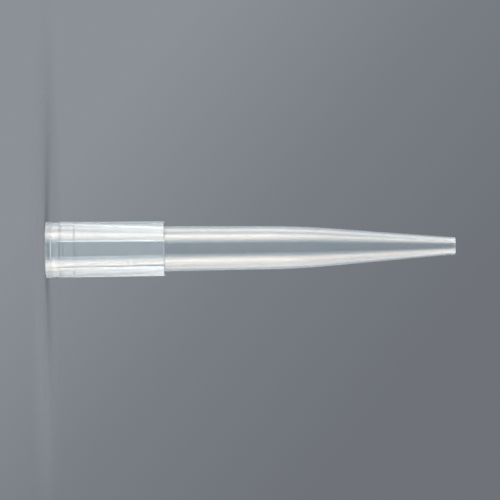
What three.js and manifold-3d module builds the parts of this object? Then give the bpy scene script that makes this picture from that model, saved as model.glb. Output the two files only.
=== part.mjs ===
// A translucent polypropylene pipette tip of the 5 mL class, moulded in one piece.
// Millimetres, +Z up. The tip stands on its mouth: the origin is the centre of the mouth's face,
// and the nozzle points straight up.

import * as THREE from 'three';
import { mergeVertices } from 'three/addons/utils/BufferGeometryUtils.js';
import Module from 'manifold-3d';

// ---- Driving dimensions ----

const tipLength = 120; // mouth face to nozzle end

// Barrel: the long, nearly straight tube between the head and the nozzle
const barrelDiameter = 13.33; // outside, where it leaves the head
const barrelDraft = 0.53; // degrees that each side leans in
const barrelWall = 0.8; // where it leaves the head

// Head: the wider sleeve that takes the pipette's nose cone
const headLength = 34.7; // mouth face to the shoulder that rests on a rack
const headDraft = 1.0; // degrees, outside
const shoulderWidth = 0.82; // how far the shoulder stands out of the barrel

// Collar: the plain band round the mouth
const collarHeight = 1.6;
const collarProud = 0.19; // above the head's wall
const collarBevel = 0.25; // height of the slope that ends it

// Ribs along the head, flush with the collar at one end and with the shoulder at the other
const ribCount = 6;
const ribWidth = 0.6;
const ribStart = 3.4; // mouth face to the foot of each rib
const ribRamp = 0.4; // height over which a rib rises to its full depth
const ribDraft = 0.35; // degrees that the ribs' outer line leans in
const ribSink = 0.4; // how deep a rib is rooted in the wall
const ribTurn = 10.7; // degrees from +X to the first rib

// Socket: two sealing lands, then a long taper that runs into the barrel's bore
const leadInDepth = 0.45; // the flare inside the mouth
const leadInFlare = 0.15; // extra radius of the flare at the mouth
const firstLandHeight = 4.2; // mouth face to the first sealing land
const secondLandHeight = 8.2; // mouth face to the second sealing land
const landStep = 0.2; // how much each land narrows the bore, on the radius
const landRamp = 0.3; // height of the slope into each land
const socketDraft = 2.4; // degrees that the taper leans in

// Nozzle: the steep cone that ends in the orifice
const nozzleTaper = 4.78; // degrees, outside
const nozzleEndDiameter = 5.14;
const nozzleBandHeight = 1.7; // the nearly straight band at the very end
const nozzleBandDraft = 1.5; // degrees
const nozzleWall = 0.66; // at the orifice
const orificeDepth = 1.5; // straight part of the orifice

// Rounds and fillets
const bendRadius = 250; // soft bend between the barrel and the nozzle
const bendWall = 0.84; // the wall at that bend
const socketBlend = 60; // round where the socket runs into the barrel's bore
const edgeRound = 0.15; // mouth, shoulder and nozzle edges
const rootFillet = 0.3; // where the barrel meets the shoulder

// Facets
const sides = 60; // round the axis
const bendSteps = 8;
const blendSteps = 4;
const edgeSteps = 2;

// ---- Sizes that follow from them ----

const slope = (degrees) => Math.tan(THREE.MathUtils.degToRad(degrees));

const barrelRadius = barrelDiameter / 2;
const headEndRadius = barrelRadius + shoulderWidth;
const headRadiusAt = (z) => headEndRadius + (headLength - z) * slope(headDraft);
const collarRadius = headRadiusAt(collarHeight) + collarProud;
const ribRadiusAt = (z) => collarRadius - (z - collarHeight) * slope(ribDraft);

const nozzleEndRadius = nozzleEndDiameter / 2;
const nozzleBandStart = tipLength - nozzleBandHeight;
const nozzleBandRadius = nozzleEndRadius + nozzleBandHeight * slope(nozzleBandDraft);

// The bend lies where the barrel's side would meet the nozzle's.
const bendHeight =
  headLength +
  (nozzleBandRadius - barrelRadius + (nozzleBandStart - headLength) * slope(nozzleTaper)) /
    (slope(nozzleTaper) - slope(barrelDraft));
const bendOuterRadius = barrelRadius - (bendHeight - headLength) * slope(barrelDraft);

const boreTopRadius = barrelRadius - barrelWall;
const socketRadiusAt = (z) => boreTopRadius + (headLength - z) * slope(socketDraft);
const secondLandRadius = socketRadiusAt(secondLandHeight + landRamp);
const firstLandRadius = secondLandRadius + landStep;
const entryRadius = firstLandRadius + landStep;
const orificeRadius = nozzleEndRadius - nozzleWall;

// ---- Section outline ----

// One corner of the section: its distance from the axis, its height, and the round on it.
const corner = (radius, z, round = 0, steps = edgeSteps) => ({
  point: new THREE.Vector2(radius, z),
  round,
  steps,
});

const outside = [
  corner(collarRadius, 0, edgeRound),
  corner(collarRadius, collarHeight),
  corner(headRadiusAt(collarHeight + collarBevel), collarHeight + collarBevel),
  corner(headEndRadius, headLength, edgeRound),
  corner(barrelRadius, headLength, rootFillet),
  corner(bendOuterRadius, bendHeight, bendRadius, bendSteps),
  corner(nozzleBandRadius, nozzleBandStart),
  corner(nozzleEndRadius, tipLength, edgeRound),
];

const inside = [
  corner(orificeRadius, tipLength),
  corner(orificeRadius, tipLength - orificeDepth),
  corner(bendOuterRadius - bendWall, bendHeight, bendRadius, bendSteps),
  corner(boreTopRadius, headLength, socketBlend, blendSteps),
  corner(secondLandRadius, secondLandHeight + landRamp),
  corner(firstLandRadius, secondLandHeight),
  corner(firstLandRadius, firstLandHeight + landRamp),
  corner(entryRadius, firstLandHeight),
  corner(entryRadius, leadInDepth),
  corner(entryRadius + leadInFlare, 0),
];

// Turns a closed ring of corners into points, with an arc tangent to both sides at each round.
function roundedOutline(corners) {
  return corners.flatMap(({ point, round, steps }, index) => {
    if (round === 0) return [point];
    const before = corners.at(index - 1).point.clone().sub(point).normalize();
    const after = corners[(index + 1) % corners.length].point.clone().sub(point).normalize();
    const halfAngle = Math.acos(before.dot(after)) / 2;
    const centre = before
      .clone()
      .add(after)
      .setLength(round / Math.sin(halfAngle))
      .add(point);
    const reach = round / Math.tan(halfAngle);
    const from = before.multiplyScalar(reach).add(point).sub(centre);
    const to = after.multiplyScalar(reach).add(point).sub(centre);
    const turn = Math.atan2(from.cross(to), from.dot(to));
    return Array.from({ length: steps + 1 }, (_, step) =>
      from.clone().rotateAround(new THREE.Vector2(), (turn * step) / steps).add(centre),
    );
  });
}

// ---- Solids ----

const wasm = await Module();
wasm.setup();

// A closed geometry as a solid that can be joined to others.
function solidOf(geometry) {
  geometry.deleteAttribute('normal');
  geometry.deleteAttribute('uv');
  const merged = mergeVertices(geometry);
  return new wasm.Manifold(
    new wasm.Mesh({
      numProp: 3,
      vertProperties: new Float32Array(merged.attributes.position.array),
      triVerts: new Uint32Array(merged.index.array),
    }),
  );
}

function geometryOf(solid) {
  const { numProp, vertProperties, triVerts } = solid.getMesh();
  const geometry = new THREE.BufferGeometry();
  geometry.setAttribute('position', new THREE.BufferAttribute(vertProperties, numProp));
  geometry.setIndex(new THREE.BufferAttribute(triVerts, 1));
  geometry.computeVertexNormals();
  return geometry;
}

// The whole round body: head, barrel and nozzle with their bore, turned from one section.
function turnedBody() {
  const outline = roundedOutline([...outside, ...inside]);
  const geometry = new THREE.LatheGeometry([...outline, outline[0]], sides);
  return solidOf(geometry.rotateX(Math.PI / 2));
}

// One rib: its side view, made as thick as the rib is wide and turned to its place.
function rib(index) {
  const sideView = new THREE.Shape([
    new THREE.Vector2(headRadiusAt(ribStart) - ribSink, ribStart),
    new THREE.Vector2(headRadiusAt(ribStart), ribStart),
    new THREE.Vector2(ribRadiusAt(ribStart + ribRamp), ribStart + ribRamp),
    new THREE.Vector2(ribRadiusAt(headLength), headLength),
    new THREE.Vector2(headEndRadius - ribSink, headLength),
  ]);
  const geometry = new THREE.ExtrudeGeometry(sideView, { depth: ribWidth, bevelEnabled: false });
  const turn = THREE.MathUtils.degToRad(ribTurn + (index * 360) / ribCount);
  geometry
    .translate(0, 0, -ribWidth / 2)
    .rotateX(Math.PI / 2)
    .rotateZ(turn);
  return solidOf(geometry);
}

function tipSolid() {
  let solid = turnedBody();
  for (let index = 0; index < ribCount; index += 1) {
    solid = solid.add(rib(index));
  }
  return solid;
}

// ---- The part ----

const polypropylene = new THREE.MeshStandardMaterial({
  color: 0xe3eaed,
  roughness: 0.3,
  metalness: 0,
  transparent: true,
  opacity: 0.55,
});

const pipetteTip = new THREE.Mesh(geometryOf(tipSolid()), polypropylene);
pipetteTip.name = 'pipette_tip';

const part = new THREE.Group();
part.add(pipetteTip);

export default part;
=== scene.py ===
import math

import bmesh
import bpy
from mathutils import Matrix, Vector


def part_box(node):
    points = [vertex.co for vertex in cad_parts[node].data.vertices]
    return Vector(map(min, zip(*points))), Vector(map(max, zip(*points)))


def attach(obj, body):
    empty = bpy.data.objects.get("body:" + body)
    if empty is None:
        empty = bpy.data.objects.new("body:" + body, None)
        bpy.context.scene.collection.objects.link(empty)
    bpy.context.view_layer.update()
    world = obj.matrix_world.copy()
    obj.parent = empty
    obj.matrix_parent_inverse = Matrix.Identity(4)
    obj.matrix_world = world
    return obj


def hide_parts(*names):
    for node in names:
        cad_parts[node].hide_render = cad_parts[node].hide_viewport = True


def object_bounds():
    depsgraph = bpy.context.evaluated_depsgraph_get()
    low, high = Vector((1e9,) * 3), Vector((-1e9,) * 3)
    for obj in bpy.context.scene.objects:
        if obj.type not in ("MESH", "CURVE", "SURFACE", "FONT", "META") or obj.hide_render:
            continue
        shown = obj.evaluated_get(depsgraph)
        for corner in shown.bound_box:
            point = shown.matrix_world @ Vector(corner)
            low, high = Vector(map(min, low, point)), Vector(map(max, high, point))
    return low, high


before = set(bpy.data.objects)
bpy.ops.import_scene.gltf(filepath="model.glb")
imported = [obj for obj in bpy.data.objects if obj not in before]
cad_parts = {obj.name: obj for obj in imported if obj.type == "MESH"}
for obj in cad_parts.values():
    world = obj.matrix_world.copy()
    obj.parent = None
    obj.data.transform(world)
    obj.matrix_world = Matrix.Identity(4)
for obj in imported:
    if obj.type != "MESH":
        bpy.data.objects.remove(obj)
cadLow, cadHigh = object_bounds()
print("frame loaded")

mm = 0.001
tipNode = "pipette_tip"
tipLow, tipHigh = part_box(tipNode)
tipLength = (tipHigh.z - tipLow.z) / mm


cameraSetup = {
    "distance": 950 * mm,  # from the tip's axis, level with the tip's middle
    "lens": 233.1,
    "sensor": 36,
    "nearest": 10 * mm,
    "furthest": 50000 * mm,
    "roll": 0.587,  # degrees that the nozzle end rises in the picture
    "shiftRight": 0.2 * mm,  # where the tip's middle stands, from the picture's centre
    "shiftUp": 0.62 * mm,
}


def makeCamera():
    roll = math.radians(cameraSetup["roll"])
    along, across = Vector((0, 0, 1)), Vector((-1, 0, 0))  # the picture's right and up, unrolled
    right = along * math.cos(roll) - across * math.sin(roll)
    up = along * math.sin(roll) + across * math.cos(roll)
    back = right.cross(up)
    middle = Vector((0, 0, (tipLow.z + tipHigh.z) / 2))
    aim = middle - right * cameraSetup["shiftRight"] - up * cameraSetup["shiftUp"]
    place = Matrix((right, up, back)).transposed().to_4x4()
    place.translation = aim + back * cameraSetup["distance"]
    data = bpy.data.cameras.new("camera")
    data.sensor_width = cameraSetup["sensor"]
    data.lens = cameraSetup["lens"]
    data.clip_start, data.clip_end = cameraSetup["nearest"], cameraSetup["furthest"]
    camera = bpy.data.objects.new("camera", data)
    camera.matrix_world = place
    bpy.context.scene.collection.objects.link(camera)
    bpy.context.scene.camera = camera
    print("camera made")


def newMaterial(name):
    material = bpy.data.materials.new(name)
    material.use_nodes = True
    material.node_tree.nodes.clear()
    return material, material.node_tree


def addNode(tree, kind, inputs=None, **settings):
    node = tree.nodes.new(kind)
    for key, value in settings.items():
        setattr(node, key, value)
    for key, value in (inputs or {}).items():
        if isinstance(value, bpy.types.NodeSocket):
            tree.links.new(value, node.inputs[key])
        else:
            node.inputs[key].default_value = value
    return node


def mathNode(tree, operation, first, second=0.0, third=0.0):
    inputs = {0: first, 1: second, 2: third}
    return addNode(tree, "ShaderNodeMath", inputs, operation=operation).outputs[0]


def remap(tree, value, fromMin, fromMax, toMin=0.0, toMax=1.0, smooth=False):
    inputs = {
        "Value": value,
        "From Min": fromMin,
        "From Max": fromMax,
        "To Min": toMin,
        "To Max": toMax,
    }
    kind = "SMOOTHSTEP" if smooth else "LINEAR"
    return addNode(tree, "ShaderNodeMapRange", inputs, interpolation_type=kind).outputs["Result"]


def mixColour(tree, factor, first, second):
    node = addNode(tree, "ShaderNodeMix", data_type="RGBA")
    for socket, value in zip((0, 6, 7), (factor, first, second)):
        if isinstance(value, bpy.types.NodeSocket):
            tree.links.new(value, node.inputs[socket])
        else:
            node.inputs[socket].default_value = value
    return node.outputs[2]


plasticLook = {
    "finishes": {  # share of light let through, and the colours of clear and milky plastic
        "polypropyleneThin": (0.955, (0.9, 0.96, 0.99, 1), (0.93, 0.975, 1.0, 1)),
        "polypropyleneThick": (0.875, (0.833, 0.912, 0.95, 1), (0.86, 0.926, 0.96, 1)),
        "polypropyleneRib": (0.75, (0.833, 0.912, 0.95, 1), (0.86, 0.926, 0.96, 1)),
    },
    "ior": 1.49,
    "roughness": 0.08,
    "roughnessSpread": 0.015,
    "streakAcross": 900,  # flow streaks: repeats a metre round the tip, and along it
    "streakAlong": 5,
    "streakDetail": 3,
    "cloudScale": 180,
    "cloudDetail": 4,
    "hazeFromStreaks": 0.6,  # the rest of the haze comes from the clouds
    "hazeRange": (0.35, 0.65),
    "roughRange": (0.3, 0.7),
    "paintedShadeRings": (  # painted shade: darker rings that let less light through, standing in for the dim look through the mouth's rim and the dark refraction line at the first land: height, half width, fade, share kept
        (0.95 * mm, 0.25 * mm, 0.35 * mm, 0.75),
        (4.1 * mm, 0.12 * mm, 0.18 * mm, 0.88),
    ),
    "ringScale": 2200,  # fine turning marks of the mould
    "ringWarp": 1.5,
    "ringDetail": 2,
    "bumpFromStreaks": 0.8,  # the rest of the bump comes from the turning marks
    "bumpDistance": 0.0002 * mm,
}


def plasticSurfaceGroup():
    group = bpy.data.node_groups.new("mouldedSurface", "ShaderNodeTree")
    for name, value in (
        ("Streaks Across", plasticLook["streakAcross"]),
        ("Streaks Along", plasticLook["streakAlong"]),
        ("Clouds", plasticLook["cloudScale"]),
        ("Rings", plasticLook["ringScale"]),
    ):
        socket = group.interface.new_socket(name, in_out="INPUT", socket_type="NodeSocketFloat")
        socket.default_value = value
    for name in ("Haze", "Roughness", "Height"):
        group.interface.new_socket(name, in_out="OUTPUT", socket_type="NodeSocketFloat")
    given = addNode(group, "NodeGroupInput").outputs
    place = addNode(group, "ShaderNodeTexCoord").outputs["Object"]

    look = plasticLook
    across, along = given["Streaks Across"], given["Streaks Along"]
    stretch = addNode(group, "ShaderNodeCombineXYZ", {"X": across, "Y": across, "Z": along})
    stretched = addNode(
        group, "ShaderNodeVectorMath", {0: place, 1: stretch.outputs[0]}, operation="MULTIPLY"
    )
    streaks = addNode(
        group,
        "ShaderNodeTexNoise",
        {"Vector": stretched.outputs[0], "Scale": 1.0, "Detail": look["streakDetail"]},
    ).outputs[0]
    clouds = addNode(
        group,
        "ShaderNodeTexNoise",
        {"Vector": place, "Scale": given["Clouds"], "Detail": look["cloudDetail"]},
    ).outputs[0]
    rings = addNode(
        group,
        "ShaderNodeTexWave",
        {
            "Vector": place,
            "Scale": given["Rings"],
            "Distortion": look["ringWarp"],
            "Detail": look["ringDetail"],
        },
        bands_direction="Z",
    ).outputs[1]

    streakShare = look["hazeFromStreaks"]
    fromClouds = mathNode(group, "MULTIPLY", clouds, 1 - streakShare)
    hazeSum = mathNode(group, "MULTIPLY_ADD", streaks, streakShare, fromClouds)
    haze = remap(group, hazeSum, *look["hazeRange"], smooth=True)
    rough = remap(group, clouds, *look["roughRange"])
    streakShare = look["bumpFromStreaks"]
    fromRings = mathNode(group, "MULTIPLY", rings, 1 - streakShare)
    height = mathNode(group, "MULTIPLY_ADD", streaks, streakShare, fromRings)
    addNode(group, "NodeGroupOutput", {"Haze": haze, "Roughness": rough, "Height": height})
    return group


def makePlastic(name, group):
    material, tree = newMaterial(name)
    surface = addNode(tree, "ShaderNodeGroup", node_tree=group).outputs
    look = plasticLook
    transmission, clearColour, milkyColour = look["finishes"][name]
    colour = mixColour(tree, surface["Haze"], clearColour, milkyColour)
    place = addNode(tree, "ShaderNodeTexCoord").outputs["Object"]
    height = addNode(tree, "ShaderNodeSeparateXYZ", {0: place}).outputs["Z"]
    # painted shade: each ring darkens the plastic's colour towards black around its height
    for ringHeight, half, fade, kept in look["paintedShadeRings"]:
        away = mathNode(tree, "ABSOLUTE", mathNode(tree, "SUBTRACT", height, ringHeight))
        clear = remap(tree, away, half, half + fade, kept, 1, smooth=True)
        colour = mixColour(tree, clear, (0, 0, 0, 1), colour)
    low = look["roughness"] - look["roughnessSpread"]
    high = look["roughness"] + look["roughnessSpread"]
    roughness = remap(tree, surface["Roughness"], 0, 1, low, high)
    bump = addNode(
        tree,
        "ShaderNodeBump",
        {"Height": surface["Height"], "Distance": look["bumpDistance"], "Strength": 1.0},
    )
    shader = addNode(
        tree,
        "ShaderNodeBsdfPrincipled",
        {
            "Base Color": colour,
            "Roughness": roughness,
            "IOR": look["ior"],
            "Transmission Weight": transmission,
            "Normal": bump.outputs[0],
        },
    )
    addNode(tree, "ShaderNodeOutputMaterial", {"Surface": shader.outputs[0]})
    print("plastic made:", name)
    return material


tipSizes = {  # millimetres and degrees
    "barrelDiameter": 13.33,
    "barrelDraft": 0.53,
    "barrelWall": 0.8,
    "headLength": 34.7,
    "headDraft": 1.0,
    "shoulderWidth": 0.82,
    "collarHeight": 1.6,
    "collarProud": 0.19,
    "collarBevel": 0.25,
    "leadInDepth": 0.45,
    "leadInFlare": 0.15,
    "firstLandHeight": 4.2,
    "secondLandHeight": 8.2,
    "landStep": 0.2,
    "landRamp": 0.3,
    "socketDraft": 2.4,
    "socketBlend": 60,  # the round where the socket runs into the barrel's bore
    "nozzleTaper": 4.78,
    "nozzleEndDiameter": 5.14,
    "nozzleBandHeight": 1.7,
    "nozzleBandDraft": 1.5,
    "nozzleWall": 0.66,
    "orificeDepth": 1.5,
    "bendRadius": 250,
    "bendWall": 0.84,
    "edgeRound": 0.15,
    "softRound": 0.06,  # the least round that a moulded edge has
    "rootFillet": 0.3,
    "ribs": {
        "count": 6,
        "width": 0.4,  # at the crest
        "lean": 15,  # how far each flank leans in
        "start": 3.4,
        "ramp": 0.4,
        "draft": 0.35,
        "turn": 10.7,  # from +X to the first rib
    },
    "mesh": {
        "edgeSteps": 5,
        "bendSteps": 28,
        "rampSteps": 6,
        "flankSteps": 8,
        "stepsBetweenRibs": 26,
        "hold": 0.1,  # from a round to the ring that keeps its neighbour flat
        "crestHold": 0.03,  # from a flank to the column that keeps the crest flat
        "crestShares": (0.6, 0.2),  # columns on the crest, as shares of its half width
        "besideRib": (0.9, 0.4, 0.15, 0.05),  # columns beside a rib, from its foot
        "leastRun": 0.03,  # the narrowest that a flank's columns may stand
    },
}


def slope(degrees):
    return math.tan(math.radians(degrees))


def headRadius(height):
    headEnd = tipSizes["barrelDiameter"] / 2 + tipSizes["shoulderWidth"]
    return headEnd + (tipSizes["headLength"] - height) * slope(tipSizes["headDraft"])


def collarRadius():
    return headRadius(tipSizes["collarHeight"]) + tipSizes["collarProud"]


# The section's corners, up the outside and down the bore, each as radius, height, round and name.
def sectionCorners():
    s = tipSizes
    barrel = s["barrelDiameter"] / 2
    collarTop = s["collarHeight"] + s["collarBevel"]
    nozzleEnd = s["nozzleEndDiameter"] / 2
    bandStart = tipLength - s["nozzleBandHeight"]
    bandRadius = nozzleEnd + s["nozzleBandHeight"] * slope(s["nozzleBandDraft"])
    taper, draft = slope(s["nozzleTaper"]), slope(s["barrelDraft"])
    bendRise = (bandRadius - barrel + (bandStart - s["headLength"]) * taper) / (taper - draft)
    bendHeight = s["headLength"] + bendRise
    bendRadius = barrel - bendRise * draft
    socketEnd = barrel - s["barrelWall"]
    secondTop = s["secondLandHeight"] + s["landRamp"]
    firstTop = s["firstLandHeight"] + s["landRamp"]
    second = socketEnd + (s["headLength"] - secondTop) * slope(s["socketDraft"])
    first = second + s["landStep"]
    entry = first + s["landStep"]
    orifice = nozzleEnd - s["nozzleWall"]
    edge, soft = s["edgeRound"], s["softRound"]
    return [
        (collarRadius(), 0, edge, ""),
        (collarRadius(), s["collarHeight"], soft, ""),
        (headRadius(collarTop), collarTop, soft, ""),
        (headRadius(s["headLength"]), s["headLength"], edge, "shoulderEdge"),
        (barrel, s["headLength"], s["rootFillet"], ""),
        (bendRadius, bendHeight, s["bendRadius"], "bend"),
        (bandRadius, bandStart, soft, ""),
        (nozzleEnd, tipLength, edge, ""),
        (orifice, tipLength, soft, ""),
        (orifice, tipLength - s["orificeDepth"], soft, ""),
        (bendRadius - s["bendWall"], bendHeight, s["bendRadius"], "bend"),
        (socketEnd, s["headLength"], s["socketBlend"], "bend"),
        (second, secondTop, soft, ""),
        (first, s["secondLandHeight"], soft, ""),
        (first, firstTop, soft, ""),
        (entry, s["firstLandHeight"], soft, ""),
        (entry, s["leadInDepth"], soft, ""),
        (entry + s["leadInFlare"], 0, soft, ""),
    ]


def ribCrest(height):
    return collarRadius() - (height - tipSizes["collarHeight"]) * slope(tipSizes["ribs"]["draft"])


def smoothStep(value):
    value = min(max(value, 0), 1)
    return value * value * (3 - 2 * value)


# Rings of the mesh, each as radius, height and how far a rib stands out of it.
def sectionRings():
    corners = sectionCorners()
    ribs, mesh = tipSizes["ribs"], tipSizes["mesh"]
    rings = []
    for index, (radius, height, size, name) in enumerate(corners):
        point = Vector((radius, height))
        before = (Vector(corners[index - 1][:2]) - point).normalized()
        after = (Vector(corners[(index + 1) % len(corners)][:2]) - point).normalized()
        half = before.angle(after) / 2
        reach = size / math.tan(half)
        centre = point + (before + after).normalized() * (size / math.sin(half))
        start = point + before * reach - centre
        end = point + after * reach - centre
        turn = math.atan2(start.x * end.y - start.y * end.x, start.dot(end))
        steps = mesh["bendSteps" if name == "bend" else "edgeSteps"]
        lift = 0
        if name == "shoulderEdge":
            lift = ribCrest(height) - radius
            for step in range(-1, mesh["rampSteps"] + 2):
                share = step / mesh["rampSteps"]
                z = ribs["start"] + ribs["ramp"] * share
                rings.append((headRadius(z), z, smoothStep(share) * (ribCrest(z) - headRadius(z))))
        hold = mesh["hold"]
        ring = point + before * (reach + hold)
        rings.append((ring.x, ring.y, lift))
        for step in range(steps + 1):
            ring = centre + Matrix.Rotation(turn * step / steps, 2) @ start
            rings.append((ring.x, ring.y, lift))
        ring = point + after * (reach + hold)
        rings.append((ring.x, ring.y, 0 if name == "shoulderEdge" else lift))
    return rings


# Columns of the mesh, each as an angle, how the angle spreads with the run of a rib's flank, and
# the share of a rib's height that it carries.
def tipColumns():
    ribs, mesh = tipSizes["ribs"], tipSizes["mesh"]
    half = ribs["width"] / 2
    crest = collarRadius()
    steps = mesh["flankSteps"]
    side = [(half + gap, 1, 0) for gap in mesh["besideRib"]]
    side += [(half, 1 - step / steps, step / steps) for step in range(steps + 1)]
    side += [(half - mesh["crestHold"], 0, 1)]
    side += [(half * share, 0, 1) for share in mesh["crestShares"]]
    sector = 2 * math.pi / ribs["count"]
    widest = side[0][0] / crest
    columns = []
    for rib in range(ribs["count"]):
        middle = math.radians(ribs["turn"]) + rib * sector
        for offset, spread, share in side:
            columns.append((middle - offset / crest, -spread / crest, share))
        for offset, spread, share in reversed(side):
            columns.append((middle + offset / crest, spread / crest, share))
        gap = sector - 2 * widest
        for step in range(1, mesh["stepsBetweenRibs"]):
            columns.append((middle + widest + gap * step / mesh["stepsBetweenRibs"], 0, 0))
    return columns


def makeTip(plastics):
    rings, columns = sectionRings(), tipColumns()
    vertices = []
    lean, leastRun = slope(tipSizes["ribs"]["lean"]), tipSizes["mesh"]["leastRun"]
    for radius, height, lift in rings:
        run = max(lift * lean, leastRun)
        for angle, spread, share in columns:
            reach = (radius + lift * share) * mm
            turned = angle + spread * run
            vertices.append((reach * math.cos(turned), reach * math.sin(turned), height * mm))
    faces, finishes = [], []
    across = len(columns)
    for ring in range(len(rings)):
        nextRing = (ring + 1) % len(rings)
        raised = min(rings[ring][2], rings[nextRing][2]) > 0
        inHead = rings[ring][1] + rings[nextRing][1] < 2 * tipSizes["headLength"]
        for column in range(across):
            nextColumn = (column + 1) % across
            onRib = raised and columns[column][2] + columns[nextColumn][2] > 0
            finishes.append(2 if onRib else int(inHead))
            faces.append(
                (
                    ring * across + column,
                    ring * across + nextColumn,
                    nextRing * across + nextColumn,
                    nextRing * across + column,
                )
            )
    mesh = bpy.data.meshes.new("moulded_tip")
    mesh.from_pydata(vertices, [], faces)
    work = bmesh.new()
    work.from_mesh(mesh)
    bmesh.ops.recalc_face_normals(work, faces=work.faces)
    work.to_mesh(mesh)
    work.free()
    mesh.polygons.foreach_set("use_smooth", [True] * len(mesh.polygons))
    mesh.polygons.foreach_set("material_index", finishes)
    for plastic in plastics:
        mesh.materials.append(plastic)
    tip = bpy.data.objects.new("moulded_tip", mesh)
    bpy.context.scene.collection.objects.link(tip)
    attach(tip, "root")
    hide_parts(tipNode)
    print("tip made:", len(rings), "rings,", len(columns), "columns")


studio = {  # metres
    "floorSize": 1.2,
    "floorColour": (0.143, 0.148, 0.156, 1),
    "poolRadius": 0.02,  # the floor fades out from here
    "fadeRadius": 0.09,  # to here
    "backdropPale": (0.258, 0.283, 0.31, 1),
    "backdropMiddle": (0.193, 0.211, 0.233, 1),
    "backdropDeep": (0.159, 0.171, 0.191, 1),
    "deepSide": (0.62, 0, 0.78),  # the direction in which the backdrop darkens
    "backdropReach": 0.06,
    "ceilingFrom": 0.14,  # the backdrop darkens upwards between these slopes
    "ceilingUntil": 0.2,
    "ceilingShare": 0.45,
    "ambient": (0.0, 0.16, 0.36, 1),
}

# Each softbox stands from one angle to another round the tip, and has a brightness and a colour.
# Angles are in degrees from the front, towards -X on the left and +X on the right.
# A brightness of 1 is white.
softboxes = {  # metres and degrees
    "distance": 0.35,
    "bottom": -0.1,
    "top": 0.42,
    "fadeFrom": 0.08,  # their light falls off evenly between these heights
    "fadeUntil": 0.14,
    "fadedShare": 0.72,
    "sideUntil": 125,  # up to this angle a softbox stands beside the tip, not behind it
    "throughDepth": 2.5,  # more walls than this between the eye and a softbox is right through
    "throughShare": 0.1,  # how bright one beside the tip shows right through it
    "warm": (1.1, 0.965, 0.84),
    "plain": (1.0, 1.0, 1.0),
    "cool": (0.89, 0.98, 1.0),
    "left": (
        (30, 45, 2.25, "cool"),
        (45, 56, 5.1, "warm"),
        (56, 66, 7.35, "warm"),
        (66, 76, 8.35, "warm"),
        (76, 86, 4.45, "warm"),
        (86, 95, 2.3, "warm"),
        (95, 105, 2.85, "warm"),
        (105, 115, 3.25, "warm"),
        (115, 125, 0.9, "plain"),
        (125, 138, 0.48, "plain"),
        (138, 150, 0.1, "plain"),
        (150, 165, 0.3, "plain"),
    ),
    "right": (
        (30, 45, 2.13, "cool"),
        (45, 56, 5.45, "warm"),
        (56, 66, 7.95, "warm"),
        (66, 76, 9.05, "warm"),
        (76, 86, 5.3, "warm"),
        (86, 95, 5.75, "warm"),
        (95, 105, 2.65, "warm"),
        (105, 115, 1.7, "warm"),
        (115, 125, 1.2, "plain"),
        (125, 138, 0.56, "plain"),
        (138, 150, 0.16, "plain"),
        (150, 165, 0.43, "plain"),
    ),
    "overheadHeight": 0.6,
    "overheadSize": 0.5,
    "overheadBrightness": 3.5,
}


def shownRays(tree):
    rays = addNode(tree, "ShaderNodeLightPath").outputs
    shown = mathNode(tree, "MAXIMUM", rays["Is Camera Ray"], rays["Is Glossy Ray"])
    return mathNode(tree, "MAXIMUM", shown, rays["Is Transmission Ray"])


def makeWorld():
    world = bpy.data.worlds.new("studio")
    world.use_nodes = True
    tree = world.node_tree
    tree.nodes.clear()
    direction = addNode(tree, "ShaderNodeTexCoord").outputs["Generated"]
    deepness = addNode(
        tree, "ShaderNodeVectorMath", {0: direction, 1: studio["deepSide"]}, operation="DOT_PRODUCT"
    ).outputs["Value"]
    reach = studio["backdropReach"]
    nearShare = remap(tree, deepness, -reach, 0)
    farShare = remap(tree, deepness, 0, reach)
    backdrop = mixColour(tree, nearShare, studio["backdropPale"], studio["backdropMiddle"])
    backdrop = mixColour(tree, farShare, backdrop, studio["backdropDeep"])
    rise = addNode(tree, "ShaderNodeSeparateXYZ", {0: direction}).outputs["Z"]
    ceilingFrom, ceilingUntil = studio["ceilingFrom"], studio["ceilingUntil"]
    kept = remap(tree, rise, ceilingFrom, ceilingUntil, 1, studio["ceilingShare"], smooth=True)
    backdrop = mixColour(tree, kept, (0, 0, 0, 1), backdrop)
    colour = mixColour(tree, shownRays(tree), studio["ambient"], backdrop)
    background = addNode(tree, "ShaderNodeBackground", {"Color": colour, "Strength": 1.0})
    addNode(tree, "ShaderNodeOutputWorld", {"Surface": background.outputs[0]})
    bpy.context.scene.world = world
    print("world made")


def makeFloor():
    material, tree = newMaterial("studioFloor")
    place = addNode(tree, "ShaderNodeTexCoord").outputs["Object"]
    away = addNode(tree, "ShaderNodeVectorMath", {0: place}, operation="LENGTH").outputs["Value"]
    share = remap(tree, away, studio["poolRadius"], studio["fadeRadius"], smooth=True)
    rays = addNode(tree, "ShaderNodeLightPath").outputs
    meets = mathNode(tree, "MAXIMUM", rays["Is Camera Ray"], rays["Is Diffuse Ray"])
    share = mathNode(tree, "MAXIMUM", share, mathNode(tree, "SUBTRACT", 1.0, meets))
    paint = addNode(tree, "ShaderNodeBsdfDiffuse", {"Color": studio["floorColour"]})
    clear = addNode(tree, "ShaderNodeBsdfTransparent")
    mixed = addNode(
        tree, "ShaderNodeMixShader", {0: share, 1: paint.outputs[0], 2: clear.outputs[0]}
    )
    addNode(tree, "ShaderNodeOutputMaterial", {"Surface": mixed.outputs[0]})
    half = studio["floorSize"] / 2
    mesh = bpy.data.meshes.new("floor")
    corners = [(-half, -half, 0), (half, -half, 0), (half, half, 0), (-half, half, 0)]
    mesh.from_pydata([(x, y, cadLow.z + z) for x, y, z in corners], [], [(0, 1, 2, 3)])
    mesh.materials.append(material)
    floor = bpy.data.objects.new("floor", mesh)
    bpy.context.scene.collection.objects.link(floor)
    print("floor made")


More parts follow.
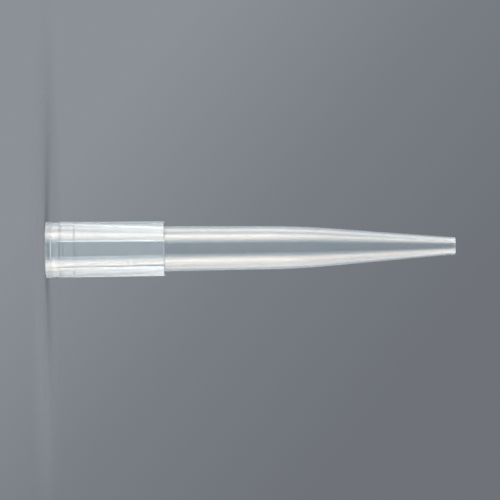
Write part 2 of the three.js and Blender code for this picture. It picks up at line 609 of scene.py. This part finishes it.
def makeSoftbox(name, fromAngle, toAngle, brightness, colour):
    distance = softboxes["distance"]
    height = softboxes["top"] - softboxes["bottom"]
    width = 2 * distance * math.tan(math.radians(toAngle - fromAngle) / 2)
    data = bpy.data.lights.new(name, "AREA")
    data.shape = "RECTANGLE"
    data.size, data.size_y = width, height
    data.energy = brightness * math.pi * width * height
    data.color = softboxes[colour]
    turn = math.radians(fromAngle + toAngle) / 2
    outward = Vector((-math.sin(turn), -math.cos(turn), 0))
    upward = Vector((0, 0, 1))
    place = Matrix((upward.cross(outward), upward, outward)).transposed().to_4x4()
    place.translation = outward * distance + upward * (softboxes["bottom"] + height / 2)
    data.use_nodes = True
    tree = data.node_tree
    tree.nodes.clear()
    position = addNode(tree, "ShaderNodeNewGeometry").outputs["Position"]
    height = addNode(tree, "ShaderNodeSeparateXYZ", {0: position}).outputs["Z"]
    fadeFrom, fadeUntil = softboxes["fadeFrom"], softboxes["fadeUntil"]
    strength = remap(tree, height, fadeFrom, fadeUntil, 1, softboxes["fadedShare"])
    if max(abs(fromAngle), abs(toAngle)) <= softboxes["sideUntil"]:
        depth = addNode(tree, "ShaderNodeLightPath").outputs["Transmission Depth"]
        through = mathNode(tree, "GREATER_THAN", depth, softboxes["throughDepth"])
        shown = remap(tree, through, 0, 1, 1, softboxes["throughShare"])
        strength = mathNode(tree, "MULTIPLY", strength, shown)
    emission = addNode(tree, "ShaderNodeEmission", {"Strength": strength})
    addNode(tree, "ShaderNodeOutputLight", {"Surface": emission.outputs[0]})
    light = bpy.data.objects.new(name, data)
    light.matrix_world = place
    light.visible_camera = False
    bpy.context.scene.collection.objects.link(light)


def makeOverhead():
    size = softboxes["overheadSize"]
    data = bpy.data.lights.new("overhead", "AREA")
    data.size = size
    data.energy = softboxes["overheadBrightness"] * math.pi * size * size
    light = bpy.data.objects.new("overhead", data)
    light.location = (0, 0, softboxes["overheadHeight"])
    light.visible_camera = False
    bpy.context.scene.collection.objects.link(light)


def makeLights():
    for start, end, brightness, colour in softboxes["left"]:
        makeSoftbox("left" + str(start), start, end, brightness, colour)
    for start, end, brightness, colour in softboxes["right"]:
        makeSoftbox("right" + str(start), -end, -start, brightness, colour)
    makeOverhead()
    print("lights made")


makeCamera()
surfaceGroup = plasticSurfaceGroup()
makeTip([makePlastic(name, surfaceGroup) for name in plasticLook["finishes"]])
makeWorld()
makeFloor()
makeLights()
bpy.context.scene.view_settings.view_transform = "Standard"

bpy.context.view_layer.update()
